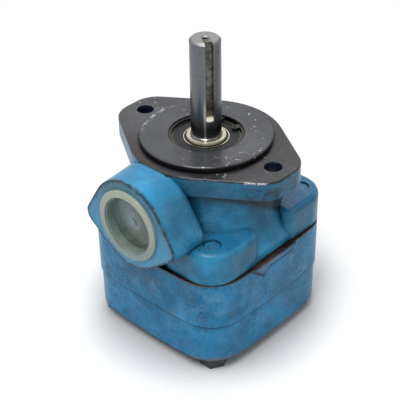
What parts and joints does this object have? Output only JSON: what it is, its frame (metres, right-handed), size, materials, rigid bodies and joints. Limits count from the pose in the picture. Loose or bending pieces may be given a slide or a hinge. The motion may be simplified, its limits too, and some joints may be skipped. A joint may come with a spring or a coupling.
{
  "type": "hydraulic vane pump",
  "caption": "Flange-mounted hydraulic vane pump with a keyed drive shaft, a plugged side inlet, an outlet in its rear cover, and a rotor with sliding vanes inside.",
  "frame": {"origin": "centre of the mounting face, on the drive shaft's axis", "axes": "+Z out along the drive shaft, -Y towards the inlet, X through the two flange holes"},
  "size_m": [0.1314, 0.1298, 0.1971],
  "materials": {
    "housing_paint": "worn satin blue over cast iron, bare on the mounting face",
    "screw_steel": "dark phosphated",
    "shaft_steel": "ground",
    "race_steel": "polished",
    "spring_steel": "oiled",
    "seal_case_steel": "pressed",
    "rotor_steel": "ground",
    "bush_bronze": "sintered",
    "plate_iron": "lapped face",
    "seal_rubber": "moulded",
    "plug_plastic": "translucent, waxy"
  },
  "bodies": {
    "housing": {"pump_body": "housing_paint", "cam_ring": "housing_paint", "end_cover": "housing_paint", "cover_bolts": "screw_steel", "dowel_pins": "rotor_steel", "body_face_seal": "seal_rubber", "cover_face_seal": "seal_rubber", "bearing_outer_race": "race_steel", "bearing_shield": "seal_rubber", "housing_snap_ring": "spring_steel", "shaft_seal_case": "seal_case_steel", "shaft_seal_lip": "seal_rubber", "seal_garter_spring": "spring_steel", "shaft_bushing": "bush_bronze", "front_plate": "plate_iron", "pressure_plate": "plate_iron", "plate_o_ring": "seal_rubber", "plate_backup_ring": "plug_plastic", "plate_spring": "spring_steel"},
    "rotating_group": {"drive_shaft": "shaft_steel", "shaft_snap_ring": "race_steel", "bearing_inner_race": "race_steel", "rotor": "rotor_steel"},
    "ball_cage": {"bearing_balls": "race_steel", "bearing_cage": "seal_case_steel"},
    "plug": {"inlet_plug": "plug_plastic"},
    "vane_01_body": {"vane_01": "rotor_steel"},
    "vane_02_body": {"vane_02": "rotor_steel"},
    "vane_03_body": {"vane_03": "rotor_steel"},
    "vane_04_body": {"vane_04": "rotor_steel"},
    "vane_05_body": {"vane_05": "rotor_steel"},
    "vane_06_body": {"vane_06": "rotor_steel"},
    "vane_07_body": {"vane_07": "rotor_steel"},
    "vane_08_body": {"vane_08": "rotor_steel"},
    "vane_09_body": {"vane_09": "rotor_steel"},
    "vane_10_body": {"vane_10": "rotor_steel"},
    "vane_11_body": {"vane_11": "rotor_steel"},
    "vane_12_body": {"vane_12": "rotor_steel"}
  },
  "joints": [
    {"name": "shaft_spin", "type": "hinge", "parent": "housing", "child": "rotating_group", "pos_m": [0, 0, 0], "axis": [0, 0, 1], "continuous": true},
    {"name": "cage_spin", "type": "hinge", "parent": "housing", "child": "ball_cage", "pos_m": [0, 0, -0.0061], "axis": [0, 0, 1], "continuous": true},
    {"name": "plug_slide", "type": "slide", "parent": "housing", "child": "plug", "axis": [0, -1, 0], "range_m": [0, 0.03]},
    {"name": "vane_01_slide", "type": "slide", "parent": "rotating_group", "child": "vane_01_body", "axis": [1, 0, 0], "range_m": [-0.0012, 0]},
    {"name": "vane_02_slide", "type": "slide", "parent": "rotating_group", "child": "vane_02_body", "axis": [0.866, 0.5, 0], "range_m": [-0.0012, 0]},
    {"name": "vane_03_slide", "type": "slide", "parent": "rotating_group", "child": "vane_03_body", "axis": [0.5, 0.866, 0], "range_m": [-0.0012, 0]},
    {"name": "vane_04_slide", "type": "slide", "parent": "rotating_group", "child": "vane_04_body", "axis": [0, 1, 0], "range_m": [-0.0012, 0]},
    {"name": "vane_05_slide", "type": "slide", "parent": "rotating_group", "child": "vane_05_body", "axis": [-0.5, 0.866, 0], "range_m": [-0.0012, 0]},
    {"name": "vane_06_slide", "type": "slide", "parent": "rotating_group", "child": "vane_06_body", "axis": [-0.866, 0.5, 0], "range_m": [-0.0012, 0]},
    {"name": "vane_07_slide", "type": "slide", "parent": "rotating_group", "child": "vane_07_body", "axis": [-1, 0, 0], "range_m": [-0.0012, 0]},
    {"name": "vane_08_slide", "type": "slide", "parent": "rotating_group", "child": "vane_08_body", "axis": [-0.866, -0.5, 0], "range_m": [-0.0012, 0]},
    {"name": "vane_09_slide", "type": "slide", "parent": "rotating_group", "child": "vane_09_body", "axis": [-0.5, -0.866, 0], "range_m": [-0.0012, 0]},
    {"name": "vane_10_slide", "type": "slide", "parent": "rotating_group", "child": "vane_10_body", "axis": [0, -1, 0], "range_m": [-0.0012, 0]},
    {"name": "vane_11_slide", "type": "slide", "parent": "rotating_group", "child": "vane_11_body", "axis": [0.5, -0.866, 0], "range_m": [-0.0012, 0]},
    {"name": "vane_12_slide", "type": "slide", "parent": "rotating_group", "child": "vane_12_body", "axis": [0.866, -0.5, 0], "range_m": [-0.0012, 0]}
  ],
  "couplings": [
    {"joint": "cage_spin", "follows": "shaft_spin", "ratio": 0.38625}
  ]
}
